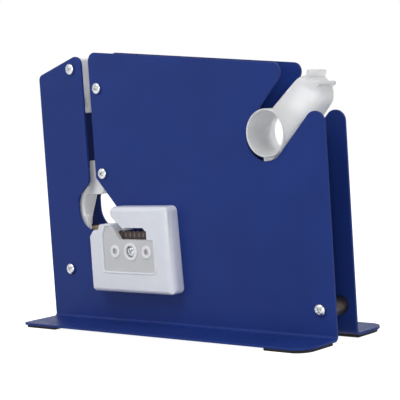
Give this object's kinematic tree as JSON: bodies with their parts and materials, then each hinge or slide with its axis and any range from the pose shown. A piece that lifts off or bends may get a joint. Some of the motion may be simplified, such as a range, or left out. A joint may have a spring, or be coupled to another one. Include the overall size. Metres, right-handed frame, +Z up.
{
  "type": "bag neck sealer",
  "caption": "Counter top bag neck sealer: two bent side plates with a neck slot, a sprung lever with a pinch roller, a slanted notch with a lift-out tape core holder, and a bag trimmer.",
  "frame": {"origin": "centre of the foot outline on the counter, under the gap between the plates", "axes": "+X to the right along the plates, with the neck slot at the -X end; +Y to the back; +Z up"},
  "size_m": [0.245, 0.085, 0.1864],
  "materials": {
    "blue_paint": "satin",
    "black_rubber": "matte",
    "zinc": "bright zinc",
    "dark_steel": "dark oiled",
    "grey_plastic": "satin",
    "white_nylon": "satin",
    "milky_nylon": "translucent satin",
    "spring_wire": "drawn",
    "brass": "turned",
    "knife_steel": "ground",
    "white_plastic": "satin",
    "grey_gloss": "satin",
    "dark_blade": "blued"
  },
  "bodies": {
    "frame": {"front_plate": "blue_paint", "back_plate": "blue_paint", "pad_front_left": "black_rubber", "pad_front_right": "black_rubber", "pad_back_left": "black_rubber", "pad_back_right": "black_rubber", "ear_spacer": "zinc", "corner_spacer": "zinc", "heel_spacer": "dark_steel", "guide_post": "zinc", "lever_post": "zinc", "trimmer_post": "zinc", "front_screws": "zinc", "back_screws": "zinc", "catch_block": "grey_plastic", "return_spring": "spring_wire", "trimmer_cover": "white_plastic", "trimmer_insert": "grey_gloss", "trimmer_blade": "dark_blade", "trimmer_screw": "zinc"},
    "guide": {"guide_roller": "white_nylon"},
    "lever": {"press_lever": "grey_plastic", "roller_pin": "zinc", "tape_knife": "knife_steel", "knife_screw": "zinc"},
    "pinch": {"press_roller": "brass"},
    "holder": {"core_holder": "milky_nylon"}
  },
  "joints": [
    {"name": "guide_spin", "type": "hinge", "parent": "frame", "child": "guide", "pos_m": [-0.0637, 0, 0.1621], "axis": [0, 1, 0], "continuous": true},
    {"name": "lever_press", "type": "hinge", "parent": "frame", "child": "lever", "pos_m": [-0.0637, 0, 0.1043], "axis": [0, -1, 0], "range_deg": [0, 55], "stiffness_Nm_per_rad": 0.02, "springref_deg": -28.65, "deforming": ["return_spring"]},
    {"name": "pinch_spin", "type": "hinge", "parent": "lever", "child": "pinch", "pos_m": [-0.0879, 0, 0.0643], "axis": [0, 1, 0], "continuous": true},
    {"name": "holder_lift", "type": "slide", "parent": "frame", "child": "holder", "axis": [0.6997, 0, 0.7145], "range_m": [0, 0.04]}
  ]
}
